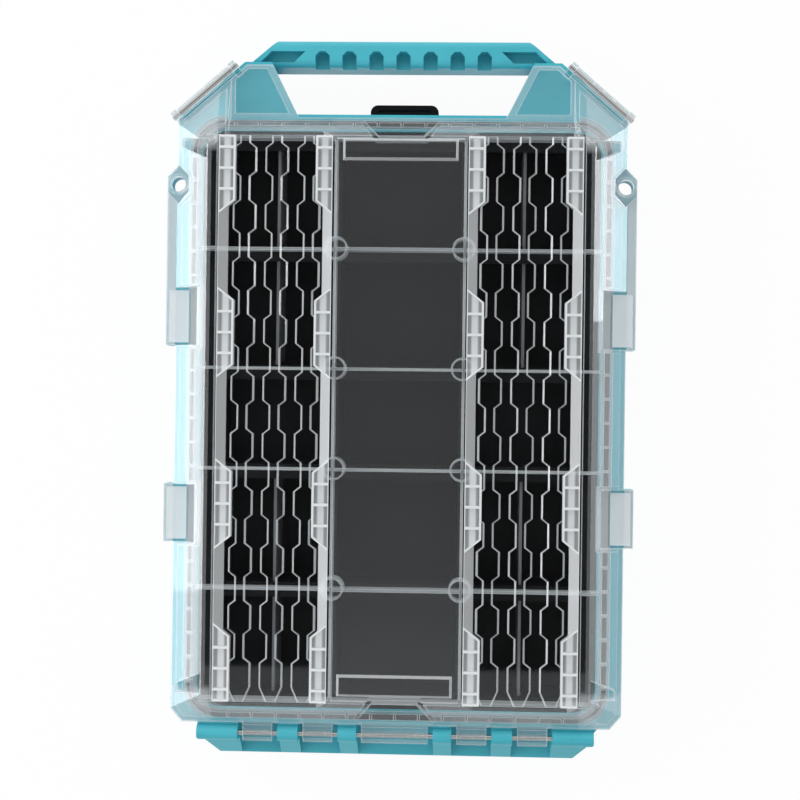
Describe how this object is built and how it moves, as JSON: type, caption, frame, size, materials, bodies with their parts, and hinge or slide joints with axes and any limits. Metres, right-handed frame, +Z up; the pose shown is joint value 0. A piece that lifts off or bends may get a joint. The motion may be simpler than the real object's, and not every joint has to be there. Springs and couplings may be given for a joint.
{
  "type": "organizer case",
  "caption": "Flat carry case with a clear ribbed hinged lid, corner latches and a moulded handle, holding lift-out bins with dividers for small parts.",
  "frame": {"origin": "centre of the footprint, at the underside that the case lies on", "axes": "+Z up through the lid, +Y from the hinge to the carry handle, +X to the right seen from above with the handle away from the viewer"},
  "size_m": [0.246, 0.38, 0.0595],
  "materials": {
    "teal_plastic": "moulded teal polypropylene, fine satin texture",
    "clear_plastic": "clear moulded polycarbonate",
    "black_plastic": "black moulded plastic, satin",
    "grey_plastic": "thin grey moulded sheet, satin",
    "seal_rubber": "dark grey foam rubber cord",
    "steel": "drawn steel wire"
  },
  "bodies": {
    "case": {"base_shell": "teal_plastic", "carry_handle": "teal_plastic", "hinge_rail": "teal_plastic", "inner_liner": "black_plastic", "hinge_pin": "steel", "hasp_boss_left": "teal_plastic", "hasp_boss_right": "teal_plastic", "bin_row1_left": "black_plastic", "bin_row1_middle": "black_plastic", "bin_row1_right": "black_plastic", "bin_row2_left": "black_plastic", "bin_row2_middle": "black_plastic", "bin_row2_right": "black_plastic", "bin_row3_left": "black_plastic", "bin_row3_middle": "black_plastic", "bin_row3_right": "black_plastic", "bin_row4_left": "black_plastic", "bin_row4_middle": "black_plastic", "bin_row4_right": "black_plastic", "bin_row5_left": "black_plastic", "bin_row5_middle": "black_plastic", "bin_row5_right": "black_plastic", "divider_row1_left": "grey_plastic", "divider_row1_right": "grey_plastic", "divider_row2_left": "grey_plastic", "divider_row2_right": "grey_plastic", "divider_row4_left": "grey_plastic", "divider_row4_right": "grey_plastic", "divider_row5_left": "grey_plastic", "divider_row5_right": "grey_plastic"},
    "lid": {"lid": "clear_plastic", "lid_seal": "seal_rubber", "latch_pin_left": "steel", "latch_pin_right": "steel", "lid_boss_left": "clear_plastic", "lid_boss_right": "clear_plastic"},
    "latch_left": {"latch_left": "clear_plastic"},
    "latch_right": {"latch_right": "clear_plastic"},
    "stack_lock": {"stack_lock": "black_plastic"}
  },
  "joints": [
    {"name": "lid_hinge", "type": "hinge", "parent": "case", "child": "lid", "pos_m": [0, -0.1757, 0.042], "axis": [1, 0, 0], "range_deg": [0, 180]},
    {"name": "latch_right_pivot", "type": "hinge", "parent": "lid", "child": "latch_right", "pos_m": [0.10361, 0.161, 0.046], "axis": [0.7536, -0.6573, 0], "range_deg": [0, 100]},
    {"name": "latch_left_pivot", "type": "hinge", "parent": "lid", "child": "latch_left", "pos_m": [-0.10361, 0.161, 0.046], "axis": [0.7536, 0.6573, 0], "range_deg": [0, 100]},
    {"name": "stack_lock_push", "type": "slide", "parent": "case", "child": "stack_lock", "axis": [0, -1, 0], "range_m": [0, 0.0035], "stiffness_N_per_m": 300, "springref_m": -0.002}
  ]
}
